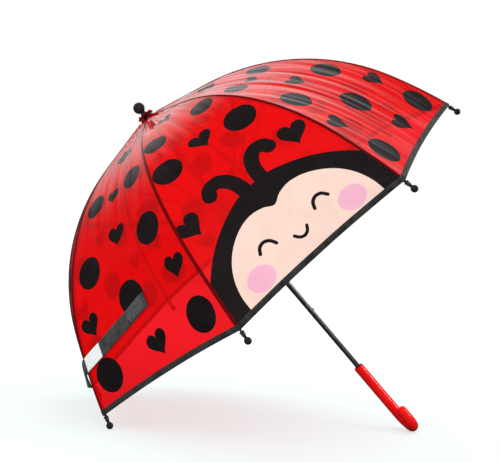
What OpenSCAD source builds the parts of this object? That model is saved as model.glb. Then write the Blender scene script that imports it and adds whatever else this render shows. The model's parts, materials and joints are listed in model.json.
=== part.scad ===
// Child's dome umbrella, lying open on the floor on two rib tips and its handle.
// Each piece is drawn about the shaft (shaft axis = Z, rib tip plane = 0) and
// then laid down by lay_down(), so +Z of the part is up from the floor.

/* [Ribs] */
// Straight length of each rib next to the crown
rib_straight = 92; // [84:1:98]
// Bend radius of the main curve of the rib
rib_bend_r = 308; // [296:2:320]
// Bend radius of the flatter outer end of the rib
rib_edge_r = 735; // [690:5:780]
// Slope of the rib at the crown, degrees below level
rib_slope_in = 12; // [10:1:14]
// Slope where the main curve ends
rib_slope_mid = 62; // [60:1:63]
// Slope at the tip
rib_slope_tip = 70.5; // [69:0.5:72]
// Depth of the rib section, in the plane of its bend
rib_depth = 2.8; // [2.4:0.1:3.2]
// Width of the rib section
rib_w = 2.4; // [2:0.1:2.6]
// Distance along the rib from crown hinge to stretcher joint
joint_s = 190; // [180:2:200]

/* [Tips] */
// Diameter of the ball on each rib tip
tip_ball_d = 9.2; // [8:0.2:10]
// Diameter of the tip's socket
tip_neck_d = 4.8; // [4.6:0.1:5.2]

/* [Film canopy] */
// Gap between the rib's centre line and the inside of the film
film_off = 2.3; // [2.2:0.1:2.8]
// Thickness of the solid that stands for the film
film_t = 0.8; // [0.6:0.1:1]
// How far the middle of each gore sinks towards the shaft at the rim
film_sag = 5; // [2:1:8]
// How far the rim bows up between two tips
rim_scallop = 3; // [0:1:8]
// Width of the binding tape round the rim
binding_w = 6; // [4:1:8]
// Width of the tie strap
strap_w = 20; // [16:1:24]

/* [Shaft and handle] */
// Outer diameter of the steel shaft tube
shaft_d = 8; // [8:0.5:8.5]
// Wall of the shaft tube
shaft_wall = 0.7; // [0.6:0.1:0.9]
// Height of the grip's top end, measured from the plane of the rib tips
grip_top_z = -214; // [-224:1:-204]
// Diameter of the handle grip
grip_d = 15.6; // [14:0.2:17]
// Radius of the hook's centre line
hook_r = 20; // [18:1:24]
// Height of the lowest face of the hook, from the plane of the rib tips
hook_end_z = -341; // [-350:1:-332]
// Straight length of the hook's free leg
hook_leg = 15; // [10:1:20]
// Diameter of the ferrule ball
ferrule_ball_d = 17; // [15:0.5:19]
// Height of the ferrule ball's middle above the crown hinge
ferrule_rise = 20.5; // [19:0.5:23]

/* [Runner] */
// Distance from the crown hinge down to the runner's pivots, umbrella open
runner_drop = 190; // [186:1:194]
// Radius of the stretcher pivots about the shaft
runner_pin_r = 10; // [9.5:0.5:11]
// Length of the runner's sleeve below its pivots
runner_tail = 32; // [28:1:36]

/* [Hidden] */
$fn = 48;

hinge_r = 8;                       // radius of the crown wire
wire_r = 0.7;                      // its own radius
half_az = 22.5;                    // half the angle between two ribs
function rib_az(k) = half_az + 45*(k - 1);
function panel_az(k) = 45*k;
function d2r(a) = a*PI/180;

// rib centre line by arc length s: slope, radius and height
len2 = rib_bend_r*d2r(rib_slope_mid - rib_slope_in);
len3 = rib_edge_r*d2r(rib_slope_tip - rib_slope_mid);
rib_len = rib_straight + len2 + len3;
crown_z = rib_straight*sin(rib_slope_in)
        + rib_bend_r*(cos(rib_slope_in) - cos(rib_slope_mid))
        + rib_edge_r*(cos(rib_slope_mid) - cos(rib_slope_tip));
function th(s) = s < rib_straight ? rib_slope_in
    : s < rib_straight + len2 ? rib_slope_in + (s - rib_straight)/d2r(rib_bend_r)
    : rib_slope_mid + (s - rib_straight - len2)/d2r(rib_edge_r);
function rad(s) = hinge_r + (s < rib_straight ? s*cos(rib_slope_in)
    : rib_straight*cos(rib_slope_in) + (s < rib_straight + len2
        ? rib_bend_r*(sin(th(s)) - sin(rib_slope_in))
        : rib_bend_r*(sin(rib_slope_mid) - sin(rib_slope_in)) + rib_edge_r*(sin(th(s)) - sin(rib_slope_mid))));
function hgt(s) = crown_z - (s < rib_straight ? s*sin(rib_slope_in)
    : rib_straight*sin(rib_slope_in) + (s < rib_straight + len2
        ? rib_bend_r*(cos(rib_slope_in) - cos(th(s)))
        : rib_bend_r*(cos(rib_slope_in) - cos(rib_slope_mid)) + rib_edge_r*(cos(rib_slope_mid) - cos(th(s)))));
tip_r = rad(rib_len);
// a point at distance off outward from the centre line
function off_pt(s, off) = [rad(s) + off*sin(th(s)), hgt(s) + off*cos(th(s))];

// stretcher joint B on the rib's inner side, runner pivot C
lug_drop = 3.2;
B = off_pt(joint_s, -lug_drop);
C = [runner_pin_r, crown_z - runner_drop];
str_len = norm(B - C);
str_ang = atan2(C[1] - B[1], C[0] - B[0]);

// rim of the film
film_end = rib_len - 20.5;
function rim_s(v) = film_end - rim_scallop*(1 - v*v);

// the hook, and the tilt that puts two tips and the hook on the floor
hook_c = hook_end_z + grip_d/2 + hook_r;
lie_a = tip_r*cos(half_az);
lie_b = -(hook_c - hook_r);
beta = acos((grip_d/2 - tip_ball_d/2)/sqrt(lie_a*lie_a + lie_b*lie_b)) - atan2(lie_b, lie_a);
lift = lie_b*sin(beta) + grip_d/2;
shift_x = 22;
module lay_down() translate([shift_x, 0, lift]) rotate([0, beta - 90, 0]) children();

// helpers
module in_plane(w) rotate([90, 0, 0]) translate([0, 0, -w/2]) linear_extrude(height = w) children();
module at_rib(k) lay_down() rotate([0, 0, rib_az(k)]) children();
module cross_pin(p, r, w) translate([p[0], 0, p[1]]) rotate([90, 0, 0]) cylinder(h = w, r = r, center = true);
module ring_z(z0, h, r) translate([0, 0, z0]) cylinder(h = h, r = r);

// ---- frame pieces ------------------------------------------------------
leaf = [[-1, -1.4], [1, -1.4], [1.6, 3], [5.3, 14.4], [5.3, 16], [0.8, 16], [-1, 4]];
upper_pivot_z = C[1] - runner_tail - 0.4 - 16;
runner_top = 7;
closed_travel = 195.4;
lower_pivot_z = C[1] - closed_travel + runner_top + 0.4 + 16;

module shaft_tube() color([0.23, 0.23, 0.24]) lay_down() difference() {
    ring_z(grip_top_z - 40, crown_z + 9 - grip_top_z + 40, shaft_d/2);
    ring_z(grip_top_z - 41, crown_z + 11 - grip_top_z + 41, shaft_d/2 - shaft_wall);
    translate([0, -0.75, upper_pivot_z + 2]) cube([6, 1.5, 15]);
    translate([0, -0.75, lower_pivot_z - 17]) cube([6, 1.5, 15]);
    cross_pin([0, upper_pivot_z], 0.45, 12);
    cross_pin([0, lower_pivot_z], 0.45, 12);
}

module ferrule() color([0.1, 0.1, 0.1]) lay_down() difference() {
    union() {
        translate([0, 0, crown_z + ferrule_rise]) sphere(r = ferrule_ball_d/2);
        ring_z(crown_z + 8, ferrule_rise - 8, 3.4 + 1.6);
        ring_z(crown_z + 5.6, 4.4, 7.2);
    }
    ring_z(crown_z + 5, 4, shaft_d/2);
}

module canopy_cap() color([0.75, 0.05, 0.07]) lay_down() difference() {
    translate([0, 0, crown_z + 3.9]) cylinder(h = 1.6, r1 = 13, r2 = 10);
    ring_z(crown_z, 10, shaft_d/2);
}

module crown_ring() translate([0, 0, crown_z]) rotate_extrude() translate([hinge_r, 0]) circle(r = wire_r);

module crown_notch() color([0.1, 0.1, 0.1]) lay_down() difference() {
    ring_z(crown_z - 5, 8.6, 11);
    ring_z(crown_z - 6, 12, shaft_d/2);
    for (k = [1:8]) rotate([0, 0, rib_az(k)])
        translate([5.2, -(rib_w + 0.6)/2, crown_z - 6]) cube([8, rib_w + 0.6, 8.6]);
    crown_ring();
}

module crown_wire() color([0.7, 0.7, 0.72]) lay_down() crown_ring();

module runner() color([0.1, 0.1, 0.1]) lay_down() difference() {
    union() {
        ring_z(C[1] - runner_tail, runner_tail + runner_top, 6.8);
        ring_z(C[1] - 4.5, 9, 13);
        ring_z(C[1] - runner_tail, 4, 10.5);
    }
    ring_z(C[1] - runner_tail - 1, runner_tail + runner_top + 2, shaft_d/2 + 0.08);
    translate([0, -0.85, C[1] - runner_tail - 1]) cube([5.8, 1.7, runner_tail + runner_top + 2]);
    for (k = [1:8]) rotate([0, 0, rib_az(k)])
        translate([6.9, -(rib_w + 0.8)/2, C[1] - 6]) cube([8, rib_w + 0.8, 12]);
}

module stop_collar() color([0.6, 0.6, 0.62]) lay_down() difference() {
    ring_z(C[1] + runner_top + 0.5, 3, 5.4);
    ring_z(C[1] + runner_top, 5, shaft_d/2);
}

module catch_leaf(z, m) translate([0, 0, z]) scale_z(m) difference() {
    in_plane(1) polygon(leaf);
    cross_pin([0, 0], 0.5, 4);
}
module scale_z(m) if (m > 0) children(); else mirror([0, 0, 1]) children();

module upper_catch() color([0.75, 0.75, 0.77]) lay_down() catch_leaf(upper_pivot_z, 1);
module lower_catch() color([0.75, 0.75, 0.77]) lay_down() catch_leaf(lower_pivot_z, -1);
module catch_pins() color([0.6, 0.6, 0.62]) lay_down() {
    cross_pin([0, upper_pivot_z], 0.45, shaft_d);
    cross_pin([0, lower_pivot_z], 0.45, shaft_d);
}

module handle_grip() color([0.85, 0.04, 0.05]) lay_down() difference() {
    union() {
        ring_z(hook_c, grip_top_z - 1.5 - hook_c, grip_d/2);
        translate([0, 0, grip_top_z - 1.5]) cylinder(h = 1.5, r1 = grip_d/2, r2 = grip_d/2 - 1.2);
        translate([0, -hook_r, hook_c]) rotate([-90, 0, 90])
            rotate_extrude(angle = 180) translate([hook_r, 0]) circle(r = grip_d/2);
        translate([0, -2*hook_r, hook_c]) {
            cylinder(h = hook_leg, r = grip_d/2);
            translate([0, 0, hook_leg]) cylinder(h = 4.5, r1 = grip_d/2, r2 = grip_d/2*0.8);
            translate([0, 0, hook_leg + 4.5]) cylinder(h = 2.5, r1 = grip_d/2*0.8, r2 = grip_d/2*0.45);
        }
    }
    ring_z(grip_top_z - 42, 50, shaft_d/2);
}

// ---- ribs, tips and stretchers ----------------------------------------
rib_end = rib_len - 4;
rib_n = 44;
module rib(k) color([0.16, 0.16, 0.17]) at_rib(k) {
    difference() {
        union() {
            in_plane(rib_w) polygon(concat(
                [for (i = [0:rib_n]) off_pt(rib_end*i/rib_n, rib_depth/2)],
                [for (i = [rib_n:-1:0]) off_pt(rib_end*i/rib_n, -rib_depth/2)]));
            cross_pin([hinge_r, crown_z], 2.3, rib_w);
            cross_pin(B, 2.2, rib_w);
        }
        cross_pin([hinge_r, crown_z], wire_r + 0.17, rib_w + 2);
        cross_pin(B, 0.95, rib_w + 2);
    }
    // the rivet that carries the stretcher
    cross_pin(B, 0.9, rib_w + 3);
    for (m = [-1, 1]) translate([0, m*(rib_w/2 + 1.5 + 0.3), 0]) cross_pin(B, 1.7, 0.6);
}

module rib_tip(k) color([0.08, 0.08, 0.08]) at_rib(k)
    translate([tip_r, 0, 0]) rotate([0, rib_slope_tip - 90, 0]) difference() {
        // local +Z points back along the rib
        union() {
            sphere(r = tip_ball_d/2);
            cylinder(h = 13, r = tip_neck_d/2);
            translate([0, 0, 11.2]) cylinder(h = 1.8, r = 3.3);
        }
        translate([-rib_depth/2 - 0.22, -rib_w/2 - 0.05, 3.9]) cube([rib_depth + 0.44, rib_w + 0.1, 12]);
    }

module stretcher(k) color([0.5, 0.5, 0.52]) at_rib(k)
    translate([B[0], 0, B[1]]) rotate([0, -str_ang, 0]) difference() {
        union() {
            // two cheeks over the rib, the root that joins them, the bar, and the inner eye
            for (m = [-1, 1]) translate([0, m*(rib_w/2 + 0.2 + 0.4), 0]) {
                rotate([90, 0, 0]) cylinder(h = 0.8, r = 2.2, center = true);
                translate([0, -0.4, -1.3]) cube([13, 0.8, 2.6]);
            }
            translate([8.5, -rib_w/2 - 0.5, -1.3]) cube([5.5, rib_w + 1, 2.6]);
            translate([12, -rib_w/2, -1.3]) cube([str_len - 12, rib_w, 2.6]);
            translate([str_len, 0, 0]) rotate([90, 0, 0]) cylinder(h = rib_w, r = 2, center = true);
        }
        rotate([90, 0, 0]) cylinder(h = 8, r = 0.95, center = true);
        translate([str_len, 0, 0]) rotate([90, 0, 0]) cylinder(h = 8, r = 0.75, center = true);
    }

// ---- film, binding and strap ------------------------------------------
// a point of a gore: s along the rib, v from -1 (rib before) to 1 (rib after)
function film_pt(s, v, off, az, gap) = let (
        p = off_pt(s, off),
        half = p[0]*sin(half_az) - gap,
        c = p[0]*cos(half_az) - film_sag*(p[0]/tip_r)*(1 - min(v*v, 1)))
    [c*cos(az) - v*half*sin(az), c*sin(az) + v*half*cos(az), p[1]];

// a closed patch of the gore between sa(v) and sb(v)
module patch(az, sa, sb, off0, off1, nu, nv, va, vb, gap) {
    w = nv + 1;
    m = (nu + 1)*w;
    function pt(i, j, off) = let (v = va + (vb - va)*j/nv, s = sa(v) + (sb(v) - sa(v))*i/nu)
        film_pt(s, v, off, az, gap);
    pts = concat([for (i = [0:nu], j = [0:nv]) pt(i, j, off1)],
                 [for (i = [0:nu], j = [0:nv]) pt(i, j, off0)]);
    faces = concat(
        [for (i = [0:nu-1], j = [0:nv-1]) each let (a = i*w + j)
            [[a, a+1, a+w+1], [a, a+w+1, a+w], [m+a, m+a+w+1, m+a+1], [m+a, m+a+w, m+a+w+1]]],
        [for (j = [0:nv-1]) each let (b = nu*w + j)
            [[m+j, m+j+1, j+1], [m+j, j+1, j], [m+b, b, b+1], [m+b, b+1, m+b+1]]],
        [for (i = [0:nu-1]) each let (a = i*w, b = i*w + nv)
            [[m+a, a, a+w], [m+a, a+w, m+a+w], [m+b, m+b+w, b+w], [m+b, b+w, b]]]);
    polyhedron(points = pts, faces = faces, convexity = 4);
}

module canopy_panel(k) color([0.9, 0.05, 0.08, 0.75]) lay_down()
    patch(panel_az(k), function(v) 6, function(v) rim_s(v), film_off, film_off + film_t, 18, 6, -1, 1, 0.3);

module rim_binding(k) color([0.1, 0.1, 0.1]) lay_down()
    patch(panel_az(k), function(v) rim_s(v) + 0.1, function(v) rim_s(v) + 0.1 + binding_w,
          film_off - 0.3, film_off + film_t + 0.5, 1, 8, -1, 1, 0.3);

// the strap lies slantwise over the outside of gore 5
strap_v0 = 0.18;
strap_v1 = -1.0;
strap_s0 = 360;
strap_s1 = 388;
function strap_c(v) = strap_s0 + (strap_s1 - strap_s0)*(strap_v0 - v)/(strap_v0 - strap_v1);
strap_off = film_off + film_t + 0.3;

module tie_strap() color([0.2, 0.2, 0.22]) lay_down()
    patch(panel_az(5), function(v) strap_c(v) - strap_w/2, function(v) strap_c(v) + strap_w/2,
          strap_off, strap_off + 1.2, 2, 8, strap_v1, strap_v0, 0.3);

module strap_patch() color([0.12, 0.12, 0.13]) lay_down()
    patch(panel_az(5), function(v) strap_c(v) - strap_w/2 + 1, function(v) strap_c(v) + strap_w/2 - 1,
          strap_off + 1.45, strap_off + 2.6, 2, 3, strap_v0 - 0.34, strap_v0 - 0.03, 0.3);

module care_label() color([0.95, 0.95, 0.95]) lay_down()
    patch(panel_az(5), function(v) strap_c(v) - strap_w/2 + 2, function(v) strap_c(v) + strap_w/2 - 2,
          strap_off + 1.4, strap_off + 1.75, 2, 3, strap_v1 + 0.05, strap_v1 + 0.3, 0.3);

shaft_tube();
ferrule();
canopy_cap();
crown_notch();
crown_wire();
runner();
stop_collar();
upper_catch();
lower_catch();
catch_pins();
handle_grip();
tie_strap();
strap_patch();
care_label();
for (k = [1:8]) {
    rib(k);
    rib_tip(k);
    stretcher(k);
    canopy_panel(k);
    rim_binding(k);
}
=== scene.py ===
"""Looks for the child's dome umbrella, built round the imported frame. Metres, in the part's own frame."""
import json
import math

import bmesh
import bpy
import numpy as np
from mathutils import Matrix, Vector
from mathutils.geometry import delaunay_2d_cdt

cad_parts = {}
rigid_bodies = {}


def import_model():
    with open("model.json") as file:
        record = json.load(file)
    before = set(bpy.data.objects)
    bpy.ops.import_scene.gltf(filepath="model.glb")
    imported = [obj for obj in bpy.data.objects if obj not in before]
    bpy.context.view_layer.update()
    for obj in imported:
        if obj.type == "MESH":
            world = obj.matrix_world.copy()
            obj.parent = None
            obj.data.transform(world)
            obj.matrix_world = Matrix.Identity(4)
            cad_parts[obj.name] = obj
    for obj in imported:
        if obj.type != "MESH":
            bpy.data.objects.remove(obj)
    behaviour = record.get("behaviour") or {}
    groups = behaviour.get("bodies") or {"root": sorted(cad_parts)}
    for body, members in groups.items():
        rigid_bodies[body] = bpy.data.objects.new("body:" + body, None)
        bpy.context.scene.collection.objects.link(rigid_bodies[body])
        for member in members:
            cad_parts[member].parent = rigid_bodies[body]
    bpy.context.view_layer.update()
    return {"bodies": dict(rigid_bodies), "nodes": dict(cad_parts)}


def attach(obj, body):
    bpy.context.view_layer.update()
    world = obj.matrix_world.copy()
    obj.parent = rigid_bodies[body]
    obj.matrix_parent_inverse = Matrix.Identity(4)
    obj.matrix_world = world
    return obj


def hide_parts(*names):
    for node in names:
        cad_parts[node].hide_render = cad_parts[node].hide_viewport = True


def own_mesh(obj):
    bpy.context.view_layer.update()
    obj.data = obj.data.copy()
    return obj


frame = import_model()
nodes, bodies = frame["nodes"], frame["bodies"]
scene = bpy.context.scene

# ---------------------------------------------------------------- geometry of the frame, as in part.scad
D2R = math.pi / 180
S1, R1, R2 = 92.0, 308.0, 735.0
T0, T1, T2 = 12.0, 62.0, 70.5
LEN2, LEN3 = R1 * (T1 - T0) * D2R, R2 * (T2 - T1) * D2R
L = S1 + LEN2 + LEN3
sd, cd = (lambda a: np.sin(np.asarray(a, float) * D2R)), (lambda a: np.cos(np.asarray(a, float) * D2R))
CROWN_Z = S1 * sd(T0) + R1 * (cd(T0) - cd(T1)) + R2 * (cd(T1) - cd(T2))
HINGE_R, HALF = 8.0, 22.5


def th(s):
    s = np.asarray(s, float)
    return np.where(s < S1, T0, np.where(s < S1 + LEN2, T0 + (s - S1) / (R1 * D2R), T1 + (s - S1 - LEN2) / (R2 * D2R)))


def rad(s):
    s = np.asarray(s, float)
    a = s * cd(T0)
    b = S1 * cd(T0) + R1 * (sd(th(s)) - sd(T0))
    c = S1 * cd(T0) + R1 * (sd(T1) - sd(T0)) + R2 * (sd(th(s)) - sd(T1))
    return HINGE_R + np.where(s < S1, a, np.where(s < S1 + LEN2, b, c))


def hgt(s):
    s = np.asarray(s, float)
    a = s * sd(T0)
    b = S1 * sd(T0) + R1 * (cd(T0) - cd(th(s)))
    c = S1 * sd(T0) + R1 * (cd(T0) - cd(T1)) + R2 * (cd(T1) - cd(th(s)))
    return CROWN_Z - np.where(s < S1, a, np.where(s < S1 + LEN2, b, c))


TIP_R = float(rad(L))
GRIP_R, HOOK_R, HOOK_C, GRIP_TOP = 7.8, 20.0, -313.2, -214.0
LIE_A, LIE_B = TIP_R * cd(HALF), -(HOOK_C - HOOK_R)
BETA = float(np.degrees(np.arccos((GRIP_R - 4.6) / math.hypot(LIE_A, LIE_B))) - np.degrees(np.arctan2(LIE_B, LIE_A)))
LIFT = float(LIE_B * sd(BETA) + GRIP_R)
SB, CB = float(sd(BETA)), float(cd(BETA))
FILM_OFF, FILM_END, SAG = 2.7, L - 20.5, 5.0


def world(p):
    """Points about the shaft, in mm, laid down into the part's frame, in metres."""
    p = np.asarray(p, float)
    x, y, z = p[..., 0], p[..., 1], p[..., 2]
    return np.stack([SB * x - CB * z + 22.0, y, CB * x + SB * z + LIFT], -1) / 1000.0


def world_dir(v):
    x, y, z = v
    return (SB * x - CB * z, y, CB * x + SB * z)


def turn(p, az):
    p = np.asarray(p, float)
    c, s = math.cos(az * D2R), math.sin(az * D2R)
    return np.stack([p[..., 0] * c - p[..., 1] * s, p[..., 0] * s + p[..., 1] * c, p[..., 2]], -1)


def half_w(s, off=FILM_OFF):
    return (rad(s) + off * sd(th(s))) * float(sd(HALF))


def rim_s(v):
    return FILM_END - 3.0 * (1 - np.asarray(v, float) ** 2)


def base_pt(s, v, off):
    """A point of a gore about its own middle plane (azimuth 0), mm."""
    s, v = np.asarray(s, float), np.asarray(v, float)
    r, z = rad(s) + off * sd(th(s)), hgt(s) + off * cd(th(s))
    half = r * float(sd(HALF))
    c = r * float(cd(HALF)) - SAG * (r / TIP_R) * (1 - np.minimum(v * v, 1))
    return np.stack([c, v * half, z], -1)


def base_normal(s, v, off):
    e = 0.4
    a = base_pt(s + e, v, off) - base_pt(s - e, v, off)
    b = base_pt(s, v + 0.004, off) - base_pt(s, v - 0.004, off)
    n = np.cross(b, a)
    n = n / np.linalg.norm(n, axis=-1, keepdims=True)
    return n * np.sign(n[..., 2:3] + 1e-9)


def wrinkle(s, v, k):
    """How far the film stands off its smooth shape, mm."""
    lat = v * half_w(s)
    edge = np.clip(1 - v * v, 0, 1) ** 0.8
    w = 1.0 * np.exp(-(((s - 20) / 36.0) ** 2)) * np.cos(math.pi * 6 * v + 0.7 * k)
    w = w + 0.75 * np.exp(-(((s - 72) / 60.0) ** 2)) * np.sin(math.pi * 7 * v + 1.3 * k + s / 60.0)
    env = np.clip((s - 30) / 90.0, 0, 1) * (0.22 + 0.78 * np.clip((415 - s) / 150.0, 0, 1))
    for lam, amp, ph, bend in ((31.0, 0.36, 0.1, 0.9), (19.0, 0.22, 0.45, 1.3), (13.2, 0.12, 0.8, 0.6)):
        w = w + env * amp * np.sin(2 * math.pi * (lat / lam + ph * k) + bend * np.sin(s / 84.0 + 1.7 * k + ph * 9))
    rim = np.exp(-(((s - FILM_END) / 26.0) ** 2))
    w = w + rim * 0.55 * np.sin(math.pi * 3 * v + 0.9 * k)
    return w * edge


def film_pt(s, v, k, extra=0.0):
    """A point of gore k's film about its own middle plane, extra mm proud of it."""
    return base_pt(s, v, FILM_OFF) + base_normal(s, v, FILM_OFF) * (wrinkle(s, v, k) + extra)[..., None]


def film_normal(s, v, k):
    e, f = 0.7, 0.7 / np.maximum(half_w(s), 6)
    a = film_pt(s + e, v, k) - film_pt(s - e, v, k)
    b = film_pt(s, v + f, k) - film_pt(s, v - f, k)
    n = np.cross(b, a)
    n = n / np.linalg.norm(n, axis=-1, keepdims=True)
    return n * np.sign((n * base_normal(s, v, FILM_OFF)).sum(-1, keepdims=True))


# ---------------------------------------------------------------- camera
def make_camera():
    yaw, el, roll = (math.radians(a) for a in (12.06188, -2.46315, 5.10494))
    fwd = Vector((math.sin(yaw) * math.cos(el), math.cos(yaw) * math.cos(el), -math.sin(el)))
    right = Vector((math.cos(yaw), -math.sin(yaw), 0))
    up = right.cross(fwd)
    r2 = right * math.cos(roll) + up * math.sin(roll)
    u2 = -right * math.sin(roll) + up * math.cos(roll)
    cam = bpy.data.objects.new("camera", bpy.data.cameras.new("camera"))
    cam.data.lens, cam.data.sensor_width = 66.853, 36.0
    cam.data.clip_start, cam.data.clip_end = 0.05, 60
    m = Matrix((r2, u2, -fwd)).transposed().to_4x4()
    m.translation = Vector((-0.30004, -1.35552, 0.22035))
    cam.matrix_world = m
    scene.collection.objects.link(cam)
    scene.camera = cam


make_camera()


# ---------------------------------------------------------------- materials
class Mat:
    def __init__(self, name):
        self.m = bpy.data.materials.new(name)
        self.m.use_nodes = True
        self.nt = self.m.node_tree
        self.nt.nodes.clear()
        self.out = self.nt.nodes.new("ShaderNodeOutputMaterial")

    def node(self, kind, **values):
        n = self.nt.nodes.new(kind)
        for key, value in values.items():
            key = key.replace("_", " ") if key not in n.bl_rna.properties else key
            if key in n.bl_rna.properties and key not in n.inputs:
                setattr(n, key, value)
            else:
                n.inputs[key].default_value = value
        return n

    def link(self, a, b):
        self.nt.links.new(a, b)

    def uv(self, sx=1.0, sy=1.0, sz=1.0, kind="UV"):
        t = self.node("ShaderNodeTexCoord")
        mp = self.node("ShaderNodeMapping")
        mp.inputs["Scale"].default_value = (sx, sy, sz)
        self.link(t.outputs[kind], mp.inputs["Vector"])
        return mp.outputs["Vector"]

    def noise(self, vec, scale, detail=2.0, rough=0.5):
        n = self.node("ShaderNodeTexNoise")
        n.inputs["Scale"].default_value = scale
        n.inputs["Detail"].default_value = detail
        n.inputs["Roughness"].default_value = rough
        self.link(vec, n.inputs["Vector"])
        return n.outputs["Fac"]

    def ramp(self, fac, stops):
        r = self.node("ShaderNodeValToRGB")
        cr = r.color_ramp
        while len(cr.elements) < len(stops):
            cr.elements.new(0.5)
        for e, (pos, col) in zip(cr.elements, stops):
            e.position = pos
            e.color = (*col, 1) if not np.isscalar(col) else (col, col, col, 1)
        self.link(fac, r.inputs["Fac"])
        return r.outputs["Color"]

    def range(self, fac, lo, hi, a=0.0, b=1.0):
        r = self.node("ShaderNodeMapRange")
        r.inputs["From Min"].default_value, r.inputs["From Max"].default_value = a, b
        r.inputs["To Min"].default_value, r.inputs["To Max"].default_value = lo, hi
        self.link(fac, r.inputs["Value"])
        return r.outputs["Result"]

    def maths(self, op, a, b=None):
        n = self.node("ShaderNodeMath")
        n.operation = op
        for i, v in enumerate((a, b)):
            if v is None:
                continue
            if isinstance(v, (int, float)):
                n.inputs[i].default_value = v
            else:
                self.link(v, n.inputs[i])
        return n.outputs[0]

    def bump(self, height, distance, strength=1.0, normal=None):
        b = self.node("ShaderNodeBump")
        b.inputs["Strength"].default_value = strength
        b.inputs["Distance"].default_value = distance
        self.link(height, b.inputs["Height"])
        if normal is not None:
            self.link(normal, b.inputs["Normal"])
        return b.outputs["Normal"]

    def principled(self, **values):
        p = self.node("ShaderNodeBsdfPrincipled")
        for key, value in values.items():
            p.inputs[key.replace("_", " ")].default_value = value
        return p

    def finish(self, shader):
        self.link(shader, self.out.inputs["Surface"])
        return self.m


def film_wrinkle_normal(mt, fine=1.0):
    streaks = mt.noise(mt.uv(1, 0.045, 1), 150, 2.0, 0.55)
    broad = mt.noise(mt.uv(1, 0.12, 1), 46, 1.0, 0.5)
    h = mt.maths("ADD", mt.maths("MULTIPLY", streaks, 0.35), broad)
    return mt.bump(h, 0.0022 * fine, 0.62)


def make_film(name, tint, body, body2, see, wrinkle_scale=1.0):
    """Clear coloured vinyl film: part see-through, part scattering, glossy on both faces."""
    mt = Mat(name)
    nrm = film_wrinkle_normal(mt, wrinkle_scale)
    cloud = mt.ramp(mt.noise(mt.uv(1, 0.4, 1), 14, 3.0), [(0.3, body), (0.7, body2)])
    diff = mt.node("ShaderNodeBsdfDiffuse")
    tran = mt.node("ShaderNodeBsdfTranslucent")
    for n in (diff, tran):
        mt.link(cloud, n.inputs["Color"])
        mt.link(nrm, n.inputs["Normal"])
    body_mix = mt.node("ShaderNodeMixShader")
    body_mix.inputs[0].default_value = 0.45
    mt.link(diff.outputs[0], body_mix.inputs[1])
    mt.link(tran.outputs[0], body_mix.inputs[2])
    clear = mt.node("ShaderNodeBsdfTransparent")
    clear.inputs["Color"].default_value = (*tint, 1)
    see_mix = mt.node("ShaderNodeMixShader")
    see_mix.inputs[0].default_value = see
    mt.link(body_mix.outputs[0], see_mix.inputs[1])
    mt.link(clear.outputs[0], see_mix.inputs[2])
    gloss = mt.node("ShaderNodeBsdfGlossy")
    gloss.inputs["Color"].default_value = (1, 1, 1, 1)
    gloss.inputs["Roughness"].default_value = 0.09
    mt.link(nrm, gloss.inputs["Normal"])
    facing = mt.node("ShaderNodeLayerWeight")
    facing.inputs["Blend"].default_value = 0.5
    mt.link(nrm, facing.inputs["Normal"])
    f = mt.maths("POWER", facing.outputs["Facing"], 4.2)
    f = mt.range(f, 0.05, 0.98)
    top = mt.node("ShaderNodeMixShader")
    mt.link(f, top.inputs[0])
    mt.link(see_mix.outputs[0], top.inputs[1])
    mt.link(gloss.outputs[0], top.inputs[2])
    return mt.finish(top.outputs[0])


def make_ink(name, a, b, rough=(0.16, 0.26)):
    mt = Mat(name)
    nrm = film_wrinkle_normal(mt)
    fine = mt.noise(mt.uv(), 900, 2.0)
    cloud = mt.ramp(mt.noise(mt.uv(), 30, 3.0), [(0.3, a), (0.7, b)])
    p = mt.principled(IOR=1.52)
    mt.link(cloud, p.inputs["Base Color"])
    mt.link(mt.range(fine, *rough), p.inputs["Roughness"])
    mt.link(nrm, p.inputs["Normal"])
    return mt.finish(p.outputs[0])


def make_weave(name, dark, light, pitch, sheen=0.25, depth=0.00025, kind="UV", rough=0.8, cloud=70.0, mottle=0.45):
    """Woven tape: over and under threads from two crossed waves, in UVs of metres."""
    mt = Mat(name)
    v = mt.uv(1, 1, 1, kind)
    waves = []
    for axis in ("X", "Y"):
        w = mt.node("ShaderNodeTexWave")
        w.wave_type, w.bands_direction, w.wave_profile = "BANDS", axis, "SIN"
        w.inputs["Scale"].default_value = 1 / (pitch * 2 * math.pi) * math.pi
        w.inputs["Distortion"].default_value = 0.6
        w.inputs["Detail"].default_value = 1.0
        w.inputs["Detail Scale"].default_value = 4.0
        mt.link(v, w.inputs["Vector"])
        waves.append(w.outputs["Fac"])
    check = mt.node("ShaderNodeTexChecker")
    check.inputs["Scale"].default_value = 1 / pitch
    mt.link(v, check.inputs["Vector"])
    over = mt.node("ShaderNodeMix")
    mt.link(check.outputs["Fac"], over.inputs["Factor"])
    mt.link(waves[0], over.inputs["A"])
    mt.link(waves[1], over.inputs["B"])
    h = over.outputs["Result"]
    fuzz = mt.noise(v, 2600, 2.0)
    h2 = mt.maths("ADD", mt.maths("MULTIPLY", fuzz, 0.35), h)
    worn = mt.range(mt.noise(mt.uv(1, 0.6, 1, kind), cloud, 3.0, 0.6), 1 - mottle, 1 + mottle * 1.6, 0.32, 0.68)
    col = mt.ramp(mt.maths("MULTIPLY", mt.maths("MULTIPLY", h2, 0.62), worn), [(0.12, dark), (0.95, light)])
    p = mt.principled(IOR=1.46, Sheen_Weight=sheen, Sheen_Roughness=0.4)
    mt.link(col, p.inputs["Base Color"])
    mt.link(mt.range(fuzz, rough - 0.1, rough + 0.1), p.inputs["Roughness"])
    mt.link(mt.bump(h2, depth, 0.8), p.inputs["Normal"])
    return mt.finish(p.outputs[0])


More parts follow.
